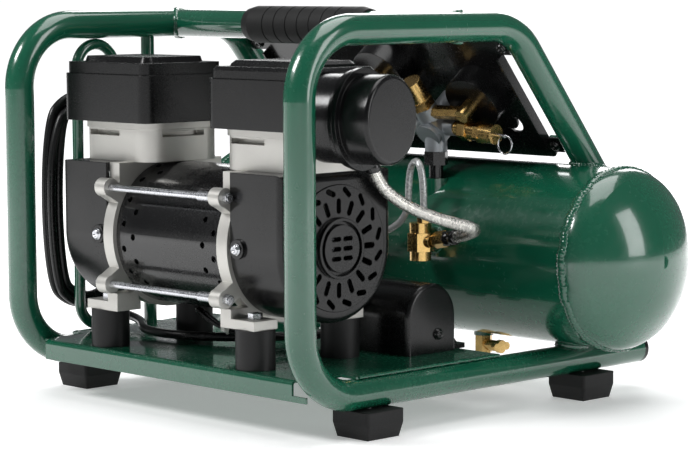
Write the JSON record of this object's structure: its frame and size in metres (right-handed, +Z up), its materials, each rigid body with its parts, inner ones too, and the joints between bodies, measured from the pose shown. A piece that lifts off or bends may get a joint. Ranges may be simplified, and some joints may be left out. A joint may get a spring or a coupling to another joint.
{
  "type": "airbrush compressor",
  "caption": "Portable piston air compressor in a tubular roll cage, with a horizontal tank, carry handle, regulator, gauges, relief valve, drain and power cord.",
  "frame": {"origin": "floor level, in the middle of the four rubber feet", "axes": "+X along the motor and the tank towards the side with the intake filter, +Y from the motor back to the tank, +Z up"},
  "size_m": [0.558, 0.4299, 0.3435],
  "materials": {
    "green_paint": "gloss powder coat",
    "black_paint": "semi-gloss black paint",
    "black_plastic": "moulded, lightly textured",
    "grip_rubber": "ribbed, matt",
    "foot_rubber": "matt",
    "isolator_rubber": "matt",
    "zinc_steel": "zinc plated",
    "cast_aluminium": "die cast, satin",
    "laminations": "stacked laminations",
    "steel": "ground",
    "chrome": "plated",
    "brass": "machined",
    "die_cast": "grey die cast",
    "lens": "clear",
    "dial_red": "red needle",
    "hose_braid": "braided sleeve",
    "tube_plastic": "smooth",
    "cord_pvc": "smooth PVC jacket",
    "foam": "filter foam",
    "fan_plastic": "moulded",
    "rocker_plastic": "moulded"
  },
  "bodies": {
    "frame": {"side_frame_near": "green_paint", "side_frame_far": "green_paint", "rail_plugs": "black_plastic", "handle_tube": "green_paint", "handle_grip": "grip_rubber", "cord_guard": "green_paint", "base_plate": "green_paint", "rubber_feet": "foot_rubber", "air_tank": "green_paint", "isolators": "isolator_rubber", "mounting_bolts": "zinc_steel", "stator_shell": "black_paint", "stator_core": "laminations", "end_brackets": "cast_aluminium", "shaft_bearings": "steel", "tie_rods": "zinc_steel", "crankcases": "black_plastic", "fan_grilles": "black_plastic", "cylinder_blocks": "cast_aluminium", "cylinder_heads": "cast_aluminium", "head_covers": "black_plastic", "cover_lids": "black_plastic", "filter_base": "black_plastic", "filter_cap": "black_plastic", "filter_element": "foam", "control_panel": "black_paint", "gauge_cases": "black_plastic", "gauge_lenses": "lens", "regulator_body": "die_cast", "quick_coupler": "brass", "brass_fittings": "brass", "safety_valve": "brass", "riser_pipe": "black_paint", "pressure_switch": "black_plastic", "check_valve": "brass", "air_hose": "hose_braid", "hose_nuts": "brass", "unloader_tube": "tube_plastic", "drain_valve": "brass", "terminal_cover": "black_plastic", "capacitor": "black_plastic", "pan_head_screws": "zinc_steel", "wire_harness": "cord_pvc", "power_cord_lead": "cord_pvc", "power_cord_coil": "cord_pvc", "power_cord_tail": "cord_pvc", "power_plug": "black_plastic"},
    "rotor": {"motor_shaft": "steel", "rotor_core": "laminations", "cooling_fans": "fan_plastic", "eccentrics": "steel"},
    "near_piston": {"piston_near": "cast_aluminium"},
    "far_piston": {"piston_far": "cast_aluminium"},
    "knob": {"regulator_knob": "black_plastic"},
    "tank_needle": {"needle_tank": "dial_red"},
    "outlet_needle": {"needle_outlet": "dial_red"},
    "relief_pull": {"safety_pull": "steel"},
    "drain": {"drain_knob": "brass"},
    "sleeve": {"coupler_sleeve": "chrome"},
    "switch": {"power_rocker": "rocker_plastic"}
  },
  "joints": [
    {"name": "rotor_spin", "type": "hinge", "parent": "frame", "child": "rotor", "pos_m": [0, -0.128, 0.149], "axis": [1, 0, 0], "continuous": true},
    {"name": "near_piston_stroke", "type": "slide", "parent": "frame", "child": "near_piston", "axis": [0, 0, 1], "range_m": [-0.0055, 0.0055]},
    {"name": "far_piston_stroke", "type": "slide", "parent": "frame", "child": "far_piston", "axis": [0, 0, 1], "range_m": [-0.0055, 0.0055]},
    {"name": "regulator_turn", "type": "hinge", "parent": "frame", "child": "knob", "pos_m": [0.061, 0.09788, 0.25725], "axis": [0, 0.775, 0.632], "range_deg": [0, 720]},
    {"name": "tank_needle_turn", "type": "hinge", "parent": "frame", "child": "tank_needle", "pos_m": [0.106, 0.0865, 0.2712], "axis": [0, 0.775, 0.632], "range_deg": [-270, 0]},
    {"name": "outlet_needle_turn", "type": "hinge", "parent": "frame", "child": "outlet_needle", "pos_m": [0.01, 0.06754, 0.29445], "axis": [0, 0.775, 0.632], "range_deg": [-270, 0]},
    {"name": "relief_pull_slide", "type": "slide", "parent": "frame", "child": "relief_pull", "axis": [0.9962, 0, -0.0872], "range_m": [0, 0.004], "stiffness_N_per_m": 2000, "springref_m": -0.001},
    {"name": "drain_turn", "type": "hinge", "parent": "frame", "child": "drain", "pos_m": [0.072, 0.123, 0.0364], "axis": [1, 0, 0], "range_deg": [0, 90]},
    {"name": "sleeve_slide", "type": "slide", "parent": "frame", "child": "sleeve", "axis": [0, -0.775, -0.632], "range_m": [0, 0.004], "stiffness_N_per_m": 1500, "springref_m": -0.002},
    {"name": "switch_rock", "type": "hinge", "parent": "frame", "child": "switch", "pos_m": [-0.06, 0.08524, 0.27275], "axis": [1, 0, 0], "range_deg": [0, 10]}
  ]
}
